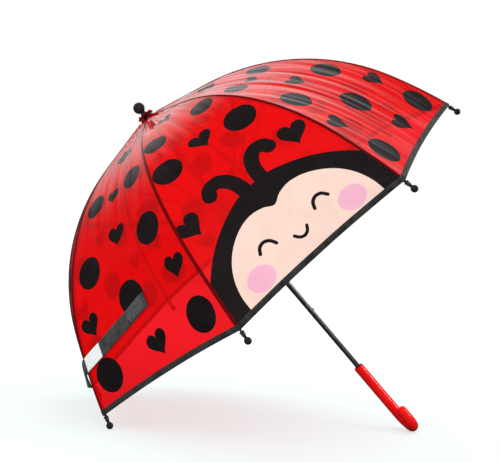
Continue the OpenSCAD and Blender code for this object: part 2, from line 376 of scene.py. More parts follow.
def make_plastic(name, a, b, rough=(0.24, 0.34), coat=0.0, grain=0.00003, scale=420):
    mt = Mat(name)
    v = mt.uv(1, 1, 1, "Object")
    fine = mt.noise(v, scale, 3.0)
    cloud = mt.ramp(mt.noise(v, 60, 3.0), [(0.3, a), (0.7, b)])
    p = mt.principled(IOR=1.5, Coat_Weight=coat, Coat_Roughness=0.06)
    mt.link(cloud, p.inputs["Base Color"])
    mt.link(mt.range(fine, *rough), p.inputs["Roughness"])
    mt.link(mt.bump(fine, grain, 0.6), p.inputs["Normal"])
    return mt.finish(p.outputs[0])


def make_metal(name, a, b, rough=(0.22, 0.4), metallic=1.0, grain=0.00002, coat=0.0):
    mt = Mat(name)
    v = mt.uv(1, 1, 1, "Object")
    fine = mt.noise(v, 700, 4.0, 0.6)
    cloud = mt.ramp(mt.noise(v, 90, 4.0), [(0.25, a), (0.75, b)])
    p = mt.principled(IOR=1.5, Metallic=metallic, Coat_Weight=coat, Coat_Roughness=0.12)
    mt.link(cloud, p.inputs["Base Color"])
    mt.link(mt.range(fine, *rough), p.inputs["Roughness"])
    mt.link(mt.bump(fine, grain, 0.7), p.inputs["Normal"])
    return mt.finish(p.outputs[0])


M = {
    "film": make_film("red_film", (1.0, 0.02, 0.034), (0.97, 0.0028, 0.0045), (0.90, 0.0016, 0.003), 0.31),
    "ruffle": make_film("gathered_film", (0.75, 0.004, 0.008), (0.42, 0.001, 0.004), (0.30, 0.0, 0.003), 0.12, 0.4),
    "seam": make_film("welded_seam", (0.6, 0.004, 0.008), (0.26, 0.001, 0.002), (0.18, 0.0005, 0.001), 0.16, 0.4),
    "ink": make_ink("black_print", (0.0065, 0.004, 0.0045), (0.0105, 0.0065, 0.007)),
    "face": make_ink("pale_print", (0.74, 0.50, 0.42), (0.78, 0.545, 0.46), (0.3, 0.42)),
    "cheek": make_ink("pink_print", (0.73, 0.325, 0.45), (0.77, 0.352, 0.482), (0.3, 0.42)),
    "tape": make_weave("binding_tape", (0.0045, 0.004, 0.004), (0.05, 0.047, 0.045), 0.0009, 0.12, rough=0.6, cloud=90.0, mottle=0.6),
    "thread": make_weave("stitching", (0.02, 0.018, 0.018), (0.07, 0.066, 0.064), 0.0004, 0.2),
    "webbing": make_weave("strap_webbing", (0.005, 0.005, 0.005), (0.085, 0.085, 0.088), 0.0014, 0.12, 0.0005, rough=0.55, cloud=120.0, mottle=0.7),
    "hooks": make_weave("hook_and_loop", (0.004, 0.004, 0.0045), (0.075, 0.075, 0.078), 0.0007, 0.3, 0.0006, cloud=160.0, mottle=0.7),
    "label": make_weave("satin_label", (0.82, 0.82, 0.81), (0.96, 0.96, 0.95), 0.0005, 0.2, 0.00005, rough=0.45, mottle=0.05),
    "black": make_plastic("black_plastic", (0.012, 0.0115, 0.012), (0.022, 0.021, 0.022)),
    "grip": make_plastic("red_grip", (0.94, 0.0025, 0.003), (0.98, 0.005, 0.006), (0.16, 0.2), 0.6, 0.000004, 260),
    "lacquer": make_metal("black_lacquered_steel", (0.022, 0.022, 0.024), (0.04, 0.04, 0.043), (0.26, 0.4), 0.35, coat=0.3),
    "shaft": make_metal("dark_steel_tube", (0.20, 0.195, 0.195), (0.25, 0.243, 0.243), (0.26, 0.34), 0.9, grain=0.000003),
    "steel": make_metal("galvanised_steel", (0.42, 0.42, 0.43), (0.62, 0.62, 0.63), (0.26, 0.45)),
}


# ---------------------------------------------------------------- mesh helpers
class Build:
    """Collects faces, UVs (metres) and material names, and makes one object of them."""

    def __init__(self):
        self.v, self.f, self.uv, self.mi, self.sm = [], [], [], [], []
        self.mats, self.n = [], 0

    def slot(self, name):
        if name not in self.mats:
            self.mats.append(name)
        return self.mats.index(name)

    def add(self, verts, faces, mat, uv=None, smooth=True):
        verts = np.asarray(verts, float).reshape(-1, 3)
        uv = np.zeros((len(verts), 2)) if uv is None else np.asarray(uv, float).reshape(-1, 2)
        i = self.slot(mat)
        for f in faces:
            self.f.append([int(a) + self.n for a in f])
            self.mi.append(i)
            self.sm.append(smooth)
        self.v.append(verts)
        self.uv.append(uv)
        self.n += len(verts)

    def grid(self, pts, mat, uv=None, loop_u=False, loop_v=False, smooth=True, flip=False):
        """pts is nu x nv x 3. loop_u joins the last row to the first, and loop_v the last column."""
        nu, nv = pts.shape[:2]
        faces = []
        for i in range(nu if loop_u else nu - 1):
            for j in range(nv if loop_v else nv - 1):
                a, b = i * nv + j, i * nv + (j + 1) % nv
                c, d = ((i + 1) % nu) * nv + (j + 1) % nv, ((i + 1) % nu) * nv + j
                faces.append([a, d, c, b] if flip else [a, b, c, d])
        self.add(pts, faces, mat, uv, smooth)

    def cap(self, ring, mat, flip=False, uv=None):
        n = len(ring)
        mid = np.asarray(ring, float).mean(0)
        faces = [[n, (i + 1) % n, i] if flip else [n, i, (i + 1) % n] for i in range(n)]
        self.add(np.vstack([ring, mid]), faces, mat, None if uv is None else np.vstack([uv, np.mean(uv, 0)]), True)

    def make(self, name, normals=None, fix=True):
        me = bpy.data.meshes.new(name)
        me.from_pydata(np.vstack(self.v).tolist(), [], self.f)
        for m in self.mats:
            me.materials.append(M[m])
        me.polygons.foreach_set("material_index", self.mi)
        me.polygons.foreach_set("use_smooth", self.sm)
        uv = np.vstack(self.uv)
        layer = me.uv_layers.new(name="UVMap")
        loops = np.zeros(len(me.loops), np.int32)
        me.loops.foreach_get("vertex_index", loops)
        layer.data.foreach_set("uv", uv[loops].astype(np.float32).ravel())
        ob = bpy.data.objects.new(name, me)
        scene.collection.objects.link(ob)
        if fix:
            bm = bmesh.new()
            bm.from_mesh(me)
            bmesh.ops.remove_doubles(bm, verts=bm.verts, dist=1e-6)
            bmesh.ops.recalc_face_normals(bm, faces=bm.faces)
            bm.to_mesh(me)
            bm.free()
        if normals is not None:
            me.normals_split_custom_set_from_vertices([tuple(n) for n in normals])
        me.update()
        return ob


def lathe(b, prof, mat, place, n=48, axis_uv=True, close=False):
    """A turned shape: prof is [(r, z)] in mm, and place puts local mm points into the part's frame."""
    prof = np.asarray(prof, float)
    a = np.linspace(0, 2 * math.pi, n, endpoint=False)
    pts = np.stack([prof[:, :1] * np.cos(a), prof[:, :1] * np.sin(a), np.repeat(prof[:, 1:], n, 1)], -1)
    run = np.concatenate([[0], np.cumsum(np.hypot(*np.diff(prof, axis=0).T))]) / 1000
    uv = np.stack([np.tile(a * 0.005, (len(prof), 1)), np.tile(run[:, None], (1, n))], -1)
    b.grid(place(pts), mat, uv, loop_v=True, loop_u=close)


def arc(cx, cz, r, a0, a1, n):
    """Points of an arc in (r, z), angles in degrees from +r towards +z."""
    return [(cx + r * math.cos(t), cz + r * math.sin(t)) for t in np.linspace(a0 * D2R, a1 * D2R, n)]


def frames_along(p, up):
    """Tangent, side and normal at each point of a path, by parallel transport from up."""
    p = np.asarray(p, float)
    t = np.gradient(p, axis=0)
    t /= np.linalg.norm(t, axis=1, keepdims=True)
    n = np.array(up, float)
    out = []
    for ti in t:
        n = n - ti * (n @ ti)
        n /= np.linalg.norm(n)
        out.append((ti, np.cross(ti, n), n.copy()))
    return out


def sweep(b, path, radii, mat, place, up, n=32, shape=None, caps=(True, True)):
    """A round bar of changing radius along a path, mm. shape(angle) scales the radius."""
    fr = frames_along(path, up)
    a = np.linspace(0, 2 * math.pi, n, endpoint=False)
    k = np.ones(n) if shape is None else np.array([shape(x) for x in a])
    pts = np.array([[np.asarray(p) + (s * math.cos(x) + m * math.sin(x)) * r * kk for x, kk in zip(a, k)]
                    for p, r, (t, s, m) in zip(path, radii, fr)])
    run = np.concatenate([[0], np.cumsum(np.linalg.norm(np.diff(np.asarray(path, float), axis=0), axis=1))]) / 1000
    uv = np.stack([np.tile(a * 0.008, (len(pts), 1)), np.tile(run[:, None], (1, n))], -1)
    w = place(pts)
    b.grid(w, mat, uv, loop_v=True)
    if caps[0]:
        b.cap(w[0], mat, True, uv[0])
    if caps[1]:
        b.cap(w[-1], mat, False, uv[-1])


# ---------------------------------------------------------------- film gores with their print
def circle(s, lat, d, n=72):
    a = np.linspace(0, 2 * math.pi, n, endpoint=False)
    return np.stack([s + d / 2 * np.sin(a), lat + d / 2 * np.cos(a)], 1)


def ellipse(s, lat, ds, dl, n=64):
    a = np.linspace(0, 2 * math.pi, n, endpoint=False)
    return np.stack([s + ds / 2 * np.sin(a), lat + dl / 2 * np.cos(a)], 1)


def heart(s, lat, w, lean=0.0, n=72):
    """A heart w wide whose point is towards the rim."""
    t = np.linspace(0, 2 * math.pi, n, endpoint=False) + 0.04
    x = 16 * np.sin(t) ** 3
    y = 13 * np.cos(t) - 5 * np.cos(2 * t) - 2 * np.cos(3 * t) - np.cos(4 * t)
    x, y = x * w / 32, (y + 2.5) * w / 32
    c, q = math.cos(lean * D2R), math.sin(lean * D2R)
    return np.stack([s - (y * c - x * q), lat + (x * c + y * q)], 1)


def smooth_loop(points, per=8, closed=True):
    """A Catmull-Rom curve through the points."""
    p = np.asarray(points, float)
    n, out = len(p), []
    for i in range(n if closed else n - 1):
        if closed:
            a, b, c, d = p[(i - 1) % n], p[i], p[(i + 1) % n], p[(i + 2) % n]
        else:
            a, b, c, d = p[max(i - 1, 0)], p[i], p[i + 1], p[min(i + 2, n - 1)]
        for t in np.arange(per) / per:
            out.append(0.5 * (2 * b + (c - a) * t + (2 * a - 5 * b + 4 * c - d) * t ** 2 + (3 * b - a - 3 * c + d) * t ** 3))
    if not closed:
        out.append(p[-1])
    return np.array(out)


def stroke(points, w, per=8, ends=8):
    """The outline of a round-ended stroke w wide along a smooth line."""
    c = smooth_loop(points, per, closed=False)
    t = np.gradient(c, axis=0)
    t /= np.linalg.norm(t, axis=1, keepdims=True)
    n = np.stack([-t[:, 1], t[:, 0]], 1)
    ang = np.linspace(0, math.pi, ends + 2)[1:-1]
    end1 = [c[-1] + (n[-1] * math.cos(a) + t[-1] * math.sin(a)) * w / 2 for a in ang]
    end0 = [c[0] - (n[0] * math.cos(a) + t[0] * math.sin(a)) * w / 2 for a in ang]
    return np.vstack([c + n * w / 2, end1, (c - n * w / 2)[::-1], end0])


def inside(poly, p):
    """Which points p are inside the closed polygon."""
    x, y = p[:, 0], p[:, 1]
    hit = np.zeros(len(p), bool)
    x0, y0 = poly[-1]
    for x1, y1 in poly:
        cross = (y1 > y) != (y0 > y)
        with np.errstate(divide="ignore", invalid="ignore"):
            hit ^= cross & (x < (x0 - x1) * (y - y1) / (y0 - y1 + 1e-300) + x1)
        x0, y0 = x1, y1
    return hit


def side_print():
    """[(outline, material)] of the plain gores: dots and hearts, later ones over earlier ones."""
    out = []
    for s, lat, d in ((415, 91, 46), (415, -91, 46), (348, -2, 46), (281, 62, 44), (281, -62, 44),
                      (184, 40, 36), (184, -40, 36), (193, -1, 20), (112, 4, 30)):
        if d > 22:
            out.append((circle(s, lat, d), "ink"))
        else:
            out.append((heart(s, lat, d + 4), "ink"))
    for s, lat, w, lean in ((417, 8, 36, -6), (348, 86, 34, 8), (348, -86, 34, -8), (260, 2, 33, 4)):
        out.append((heart(s, lat, w, lean), "ink"))
    return out


def front_print():
    """The gore with the ladybird's face."""
    out = []
    for s, lat, d in ((239, 54, 45), (228, -60, 43), (160, 39, 35), (158, -41, 35)):
        out.append((circle(s, lat, d), "ink"))
    for s, lat, w, lean in ((225, 0, 31, 3), (317, 78, 34, 14), (322, -89, 34, -14), (104, 0, 24, 0)):
        out.append((heart(s, lat * 1.03, w * 1.12, lean), "ink"))
    hood = [(331, 0), (333, 24), (341, 48), (353, 73), (369, 97), (387, 117), (406, 133), (428, 146), (470, 156)]
    hood = smooth_loop([(s, -l) for s, l in hood[::-1]] + hood[1:], 6, closed=False)
    out.append((hood, "ink"))
    for m in (1, -1):
        path = [(346, 13 * m), (329, 13 * m), (314, 16 * m), (302, 23 * m), (296, 33 * m), (299, 44 * m), (306, 48 * m)]
        out.append((stroke(path, 19.5), "ink"))
    face = [(371, 0), (364, 14), (361, 31), (365, 50), (375, 69), (390, 86), (408, 98), (428, 105), (447, 107), (470, 107)]
    face = smooth_loop([(s, -l) for s, l in face[::-1]] + face[1:], 6, closed=False)
    out.append((face, "face"))
    for m in (1, -1):
        out.append((ellipse(428, 73 * m, 30, 38), "cheek"))
        out.append((stroke([(408, 31 * m), (400.5, 35 * m), (397, 42 * m), (399, 49.5 * m), (405.5, 54.5 * m)], 4.4), "ink"))
    out.append((stroke([(416.5, -10), (422, -6), (424.2, 0), (422, 6), (416.5, 10)], 4.0), "ink"))
    return out


def flat_gore(shapes, pitch=4.3):
    """Triangulates a gore in (s, lateral) so that the print's outlines are edges. Returns points, triangles, material names."""
    vs = np.linspace(-1, 1, 62)
    ss = np.concatenate([np.linspace(6, 60, 16), np.linspace(60, FILM_END, 92)[1:]])
    left = np.stack([ss, -half_w(ss)], 1)
    top = np.stack([rim_s(vs), vs * half_w(rim_s(vs))], 1)[1:-1]
    right = np.stack([ss, half_w(ss)], 1)[::-1]
    bottom = np.stack([np.full(5, 6.0), np.linspace(1, -1, 7)[1:-1] * half_w(6.0)], 1)
    border = np.vstack([left, top, right, bottom])
    pts, edges = [tuple(p) for p in border], []
    n = len(border)
    edges += [(i, (i + 1) % n) for i in range(n)]
    curves = [border]
    for poly, _ in shapes:
        poly = np.asarray(poly)
        o, m = len(pts), len(poly)
        pts += [tuple(p) for p in poly]
        edges += [(o + i, o + (i + 1) % m) for i in range(m)]
        curves.append(poly)
    rows = np.arange(6 + pitch, FILM_END, pitch * 0.866)
    grid = []
    for i, s in enumerate(rows):
        h = float(half_w(s))
        x = np.arange(-h + (pitch / 2 if i % 2 else 0), h, pitch)
        grid.append(np.stack([np.full(len(x), s), x], 1))
    grid = np.vstack(grid)
    grid = grid[inside(border, grid)]
    cut = np.vstack(curves)
    near = np.zeros(len(grid), bool)
    for i in range(0, len(cut), 400):
        d = np.hypot(grid[:, None, 0] - cut[None, i:i + 400, 0], grid[:, None, 1] - cut[None, i:i + 400, 1])
        near |= (d < pitch * 0.55).any(1)
    grid = grid[~near]
    pts += [tuple(p) for p in grid]
    got = delaunay_2d_cdt([Vector((float(a), float(b))) for a, b in pts], edges, [], 0, 1e-5)
    p = np.array([tuple(v) for v in got[0]], float)
    tri = np.array([list(f) for f in got[2] if len(f) == 3], int)
    mid = p[tri].mean(1)
    a, b, c = p[tri[:, 0]], p[tri[:, 1]], p[tri[:, 2]]
    area = 0.5 * np.abs((b[:, 0] - a[:, 0]) * (c[:, 1] - a[:, 1]) - (b[:, 1] - a[:, 1]) * (c[:, 0] - a[:, 0]))
    keep = inside(border, mid) & (area > 1e-4)
    tri, mid, area = tri[keep], mid[keep], area[keep]
    names = np.array(["film"] * len(tri), dtype=object)
    for poly, mat in shapes:
        names[inside(np.asarray(poly), mid)] = mat
    used, flat = np.unique(tri, return_inverse=True)
    return p[used], flat.reshape(-1, 3), names, float(area.sum())


SIDE = flat_gore(side_print())
FRONT = flat_gore(front_print())


def gore_place(k):
    return lambda p: world(turn(p, 45.0 * k))


def fold_with(ob, k):
    """Rides on gore body k, with a mesh of its own."""
    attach(ob, f"gore_body_{k}")
    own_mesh(ob)
    return ob


films = {}
for k in range(1, 9):
    p, tri, names, area = FRONT if k == 6 else SIDE
    s, lat = p[:, 0], p[:, 1]
    v = np.clip(lat / half_w(s), -1, 1)
    pts = gore_place(k)(film_pt(s, v, k))
    nrm = turn(film_normal(s, v, k), 45.0 * k)
    nrm = np.array([world_dir(q) for q in nrm])
    b = Build()
    order = ["film", "ink", "face", "cheek"] if k == 6 else ["film", "ink"]
    for m in order:
        b.slot(m)
    # outward winding
    t0 = tri[0]
    a, c, d = pts[t0[0]], pts[t0[1]], pts[t0[2]]
    if np.cross(c - a, d - a) @ nrm[t0[0]] < 0:
        tri = tri[:, ::-1]
    b.v, b.uv, b.n = [pts], [np.stack([lat, s], 1) / 1000.0], len(pts)
    b.f = tri.tolist()
    b.mi = [order.index(x) for x in names]
    b.sm = [True] * len(tri)
    ob = b.make(f"film_gore_{k}", normals=nrm, fix=False)
    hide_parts(f"canopy_panel_{k}")
    films[k] = fold_with(ob, k)
    films[k]["flat_area"] = area / 1e6


# ---------------------------------------------------------------- binding tape round the rim, with its stitching
def rim_frame(v, k):
    """Point, direction away from the crown, and outward normal at the rim, about the gore's middle plane."""
    s = rim_s(v)
    p = film_pt(s, v, k)
    n = base_normal(s, v, FILM_OFF)
    d = base_pt(s + 0.5, v, FILM_OFF) - base_pt(s - 0.5, v, FILM_OFF)
    d = d / np.linalg.norm(d, axis=-1, keepdims=True)
    return p, d, n


SECTION = [(-1.6, 0.35), (-1.6, 0.75), (-1.2, 0.95), (0.4, 1.05), (2.6, 1.12), (4.6, 1.0), (5.6, 0.72), (6.05, 0.0),
           (5.6, -0.72), (4.6, -0.95), (2.6, -1.0), (0.4, -0.95), (-1.2, -0.85), (-1.6, -0.65), (-1.6, -0.3), (-0.6, 0.0)]


def stitch(b, p0, p1, n, r, place, mat="thread"):
    """One stitch: a short round thread that dips into the tape at both ends."""
    t = np.linspace(0, 1, 7)
    lift_ = np.sin(t * math.pi) ** 0.6 * r * 1.1 - r * 0.6
    path = p0[None] + (p1 - p0)[None] * t[:, None] + n[None] * lift_[:, None]
    sweep(b, path, r * np.array([0.6, 0.9, 1, 1, 1, 0.9, 0.6]), mat, place, n, n=7)


for k in range(1, 9):
    place = gore_place(k)
    v = np.linspace(-1, 1, 73)
    p, d, n = rim_frame(v, k)
    run = np.concatenate([[0], np.cumsum(np.linalg.norm(np.diff(p, axis=0), axis=1))])
    b = Build()
    ripple = 0.10 * np.sin(run / 7.3 + k) + 0.06 * np.sin(run / 2.9 + 2 * k)
    pts = np.stack([p + d * ds + n * (dn + (ripple if dn > 0 else ripple * 0.6))[:, None] for ds, dn in SECTION], 1)
    length = np.concatenate([[0], np.cumsum(np.hypot(*np.diff(np.array(SECTION), axis=0).T))])
    uv = np.stack([np.tile(run[:, None], (1, len(SECTION))), np.tile(length, (len(v), 1))], -1) / 1000
    w = place(pts)
    b.grid(w, "tape", uv, loop_v=True)
    b.cap(w[0], "tape", True, uv[0])
    b.cap(w[-1], "tape", False, uv[-1])
    # two rows of stitches, one each side of the fold
    total, pitch = run[-1], 4.2
    count = int(total / pitch)
    for side in (1, -1):
        for i in range(count):
            a0, a1 = (i + 0.2) * total / count, (i + 0.8) * total / count
            f = [np.array([np.interp(a, run, q[:, j]) for j in range(3)]) for a in (a0, a1) for q in (p, d, n)]
            off = 1.02 + float(np.interp((a0 + a1) / 2, run, ripple)) if side > 0 else -0.92 + float(np.interp((a0 + a1) / 2, run, ripple)) * 0.6
            q0 = f[0] + f[1] * 0.9 + f[2] * off
            q1 = f[3] + f[4] * 0.9 + f[5] * off
            stitch(b, q0, q1, f[2] * side, 0.3, place)
    ob = b.make(f"rim_tape_{k}")
    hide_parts(f"rim_binding_{k}")
    fold_with(ob, k)


# ---------------------------------------------------------------- welded seam over each rib, tip ball and its thread wraps
def rib_place(k):
    return lambda p: world(turn(p, 22.5 + 45.0 * (k - 1)))


for k in range(1, 9):
    place = rib_place(k)
    ss = np.linspace(9, FILM_END - 1.2, 150)
    b = Build()
    # bead section across the seam: lateral offset, height above the film
    sec = [(-2.2, 0.14), (-1.9, 0.42), (-1.3, 0.7), (-0.5, 0.88), (0.5, 0.88), (1.3, 0.7), (1.9, 0.42), (2.2, 0.14), (1.5, -0.3), (0, -0.42), (-1.5, -0.3)]
    tt = th(ss)
    mid = np.stack([rad(ss) + FILM_OFF * sd(tt), np.zeros_like(ss), hgt(ss) + FILM_OFF * cd(tt)], -1)
    nrm = np.stack([sd(tt), np.zeros_like(ss), cd(tt)], -1)
    width = np.clip(half_w(ss) * 0.5, 0.6, 2.1) / 2.1
    pts = np.stack([mid + nrm * (h - abs(y) * 0.36) + np.stack([np.zeros_like(ss), y * width, np.zeros_like(ss)], -1)
                    for y, h in sec], 1)
    uv = np.stack([np.tile([y for y, h in sec], (len(ss), 1)), np.tile(ss[:, None], (1, len(sec)))], -1) / 1000
    w = place(pts)
    b.grid(w, "seam", uv, loop_v=True)
    b.cap(w[0], "seam", True, uv[0])
    b.cap(w[-1], "seam", False, uv[-1])
    ob = b.make(f"film_seam_{k}")
    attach(ob, f"rib_body_{k}")

    # tip: ball, waisted neck, socket with a flange, thread wraps that tie the film's corner
    ang = (T2 - 90) * D2R

    def tip_place(p, k=k, ang=ang):
        p = np.asarray(p, float)
        x = p[..., 0] * math.cos(ang) + p[..., 2] * math.sin(ang) + TIP_R
        z = -p[..., 0] * math.sin(ang) + p[..., 2] * math.cos(ang)
        return world(turn(np.stack([x, p[..., 1], z], -1), 22.5 + 45.0 * (k - 1)))

    b = Build()
    prof = ([(0.02, -4.6)] + arc(0, 0, 4.6, -84, 58, 22) + [(2.1, 4.3), (1.95, 4.9), (1.95, 5.8), (2.2, 6.6), (2.4, 7.4), (2.4, 10.6),
            (2.7, 11.0), (3.1, 11.15), (3.3, 11.45), (3.3, 12.55), (3.1, 12.9), (2.6, 13.0), (2.3, 12.9), (2.25, 12.0)])
    lathe(b, prof, "black", tip_place, 32)
    for z in (8.1, 8.75, 9.4, 10.05):
        a = np.linspace(0, 2 * math.pi, 33)[:-1]
        ring = np.stack([2.55 * np.cos(a), 2.55 * np.sin(a), np.full_like(a, z) + 0.12 * np.sin(a)], -1)
        sec8 = np.linspace(0, 2 * math.pi, 9)[:-1]
        rp = np.array([[q + np.array([q[0] / 2.55 * math.cos(x) * 0.33, q[1] / 2.55 * math.cos(x) * 0.33, math.sin(x) * 0.33]) for x in sec8] for q in ring])
        ruv = np.stack([np.tile(a[:, None] * 0.0025, (1, 8)), np.tile(sec8 * 0.0003, (32, 1))], -1)
        b.grid(tip_place(rp), "thread", ruv, loop_u=True, loop_v=True)
    ob = b.make(f"tip_ball_{k}")
    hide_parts(f"rib_tip_{k}")
    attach(ob, f"rib_body_{k}")


# ---------------------------------------------------------------- ferrule and gathered film at the crown
b = Build()
Z0 = float(CROWN_Z)
prof = ([(4.15, Z0 + 5.6), (6.6, Z0 + 5.6), (7.0, Z0 + 5.75), (7.2, Z0 + 6.2), (7.2, Z0 + 7.6), (6.9, Z0 + 8.3), (6.2, Z0 + 8.8),
         (5.3, Z0 + 9.5), (4.7, Z0 + 10.4), (4.2, Z0 + 11.4), (3.9, Z0 + 12.3), (3.85, Z0 + 13.0)]
        + arc(0, Z0 + 20.5, 8.5, -62, 88, 34) + [(0.02, Z0 + 29.0)])
lathe(b, prof, "black", world, 56)
ob = b.make("ferrule_ball")
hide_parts("ferrule")
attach(ob, "shaft_body")

b = Build()
a = np.linspace(0, 2 * math.pi, 241)[:-1]
for layer, (r_in, r_out, z_in, z_out, waves, amp, ph) in enumerate(((4.3, 13.2, 4.7, 4.6, 14, 0.75, 0.0), (4.5, 12.0, 5.3, 6.6, 11, 1.35, 0.5), (4.7, 10.2, 5.5, 9.0, 9, 1.2, 1.1))):
    t = np.linspace(0, 1, 12)[:, None]
    wav = np.sin(waves * a + ph)[None] + 0.35 * np.sin((2 * waves + 1) * a + 2 * ph)[None]
    r = r_in + (r_out - r_in) * t + 0.7 * t * np.sin(waves * 0.5 * a * 2 + 1.3 + ph)[None] * 0.6
    z = Z0 + z_in + (z_out - z_in) * t ** 1.4 + amp * t ** 0.8 * wav
    z = np.maximum(z, Z0 + 4.35)
    pts = np.stack([r * np.cos(a), r * np.sin(a), z], -1)
    uv = np.stack([np.tile(a * 0.01, (12, 1)), np.tile(t * 0.009, (1, len(a)))], -1)
    b.grid(world(pts), "ruffle", uv, loop_v=True, flip=True)
ob = b.make("crown_ruffle", fix=False)
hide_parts("canopy_cap")
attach(ob, "shaft_body")


# ---------------------------------------------------------------- handle
b = Build()
path, radii = [], []
for r, z in [(4.15, -2.2), (5.4, -2.2), (5.8, -2.0), (6.0, -1.0), (6.15, -0.35), (6.6, 0.0), (7.1, -0.12), (7.5, -0.5), (7.75, -1.1), (7.8, -1.8)]:
    path.append((0, 0, GRIP_TOP + z))
    radii.append(r)
top_prof = list(zip(radii, [q[2] for q in path]))
lathe(b, top_prof, "grip", world, 64)
path, radii = [(0, 0, z) for z in np.linspace(GRIP_TOP - 1.8, HOOK_C, 40)], [7.8] * 40
for i in range(1, 33):
    t = math.pi * i / 32
    path.append((0, -HOOK_R + HOOK_R * math.cos(t), HOOK_C - HOOK_R * math.sin(t)))
    radii.append(7.8)
for z in np.linspace(0, 15, 8)[1:]:
    path.append((0, -2 * HOOK_R, HOOK_C + z))
    radii.append(7.8)
for t in np.linspace(0, 90, 13)[1:]:
    path.append((0, -2 * HOOK_R, HOOK_C + 15 + 7.0 * math.sin(t * D2R)))
    radii.append(max(7.8 * math.cos(t * D2R) ** 0.62, 0.15))


def parting(x):
    """A faint mould line along both sides."""
    return 1 + 0.012 * (math.exp(-((math.sin(x)) / 0.055) ** 2))


sweep(b, path, radii, "grip", world, (1, 0, 0), n=72, shape=parting, caps=(False, True))
ob = b.make("hook_handle")
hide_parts("handle_grip")
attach(ob, "shaft_body")


# ---------------------------------------------------------------- tie strap with its patch and blank label
STRAP_V0, STRAP_V1, STRAP_S0, STRAP_S1, STRAP_W = 0.18, -1.0, 360.0, 388.0, 20.0


def strap_c(v):
    return STRAP_S0 + (STRAP_S1 - STRAP_S0) * (STRAP_V0 - v) / (STRAP_V0 - STRAP_V1)


def strap_solid(name, v0, v1, inset, low, thick, mat, k=5, nv=60, nu=12, sag=0.0, round_ends=0.0, tail=None, edge=0.25):
    """A band on gore k between two places along the strap's line, closed, with softened long edges."""
    v = np.linspace(v0, v1, nv)
    w = STRAP_W / 2 - inset
    rows_top, rows_low, uvt = [], [], []
    u = np.linspace(-1, 1, nu + 1)
    run = 0.0
    for j, vj in enumerate(v):
        endf = 1.0
        if round_ends:
            t = min(j, nv - 1 - j) / (nv - 1) * abs(v1 - v0) * 130
            endf = 1.0 if t > round_ends else math.sqrt(max(1 - (1 - t / round_ends) ** 2, 0.04))
        sj = strap_c(vj) + u * w * endf
        lift_ = 0.55 * math.sin(vj * 13.0 + 0.6) * (1 - min(abs(vj), 1) ** 4) + 0.6
        prof = thick / 2 * np.clip(1 - np.abs(u) ** 10, 0, 1) ** 0.5
        base = base_pt(sj, np.full_like(sj, vj), FILM_OFF) + base_normal(sj, np.full_like(sj, vj), FILM_OFF) * (low + lift_ + thick / 2)
        nn = base_normal(sj, np.full_like(sj, vj), FILM_OFF)
        rows_top.append(base + nn * (prof + 0.02)[:, None])
        rows_low.append(base - nn * (prof + 0.02)[:, None])
        uvt.append(np.stack([u * w, np.full_like(u, (vj - v0) * 130)], -1) / 1000)
    if tail is not None:
        for r_top, r_low, uvr in tail(rows_top[-1], rows_low[-1], uvt[-1]):
            rows_top.append(r_top)
            rows_low.append(r_low)
            uvt.append(uvr)
    top, lo, uvt = np.array(rows_top), np.array(rows_low), np.array(uvt)
    ring = np.concatenate([top, lo[:, ::-1]], 1)
    ruv = np.concatenate([uvt, uvt[:, ::-1] + 0.05], 1)
    bb = Build()
    wr = gore_place(k)(ring)
    bb.grid(wr, mat, ruv, loop_v=True)
    for i in (0, len(ring) - 1):
        m = len(u)
        faces = [[j, j + 1, 2 * m - 2 - j, 2 * m - 1 - j] for j in range(m - 1)]
        if i:
            faces = [f[::-1] for f in faces]
        bb.add(wr[i], faces, mat, ruv[i])
    return bb.make(name), float(np.linalg.norm(np.diff(top[:, nu // 2], axis=0), axis=1).sum())


def hang(top, low, uv):
    """The strap's free end: it turns over the seam and hangs down along the next gore."""
    out = []
    mid = (top + low) / 2
    centre = mid.mean(0)
    across = (mid[-1] - mid[0]) / np.linalg.norm(mid[-1] - mid[0])
    thick = np.linalg.norm(top - low, axis=1)[:, None] / 2
    c0 = centre.copy()
    # local directions at the seam between gores 5 and 4: outward, round the rim, down the rib
    out_dir = np.array([math.cos(-22.5 * D2R), math.sin(-22.5 * D2R), 0]) * 0.93 + np.array([0, 0, 0.36])
    out_dir /= np.linalg.norm(out_dir)
    round_dir = np.array([math.sin(-22.5 * D2R), -math.cos(-22.5 * D2R), 0])
    s_here = strap_c(-1.0)
    down = base_pt(np.array(s_here + 20.0), np.array(-1.0), FILM_OFF) - base_pt(np.array(s_here), np.array(-1.0), FILM_OFF)
    down /= np.linalg.norm(down)
    n = 16
    pos = c0.copy()
    uvc = uv.copy()
    for i in range(1, n + 1):
        t = i / n
        heading = (round_dir * math.cos(t * 1.25) * 0.9 + down * (0.25 + t * 1.3) - out_dir * 0.28 * math.sin(t * math.pi * 0.9))
        heading /= np.linalg.norm(heading)
        pos = pos + heading * 2.3
        a2 = across * (1 - t) + (down * 0.35 - round_dir * 0.55) * t
        a2 = a2 - heading * (a2 @ heading)
        a2 /= np.linalg.norm(a2)
        nn = np.cross(heading, a2)
        if nn @ out_dir < 0:
            nn = -nn
        uu = np.linspace(-1, 1, len(mid)) * (STRAP_W / 2) * (1 - 0.12 * t)
        row = pos[None] + a2[None] * uu[:, None]
        uvc = uvc + np.array([0, 0.0023])
        out.append((row + nn * thick, row - nn * thick, uvc))
    return out


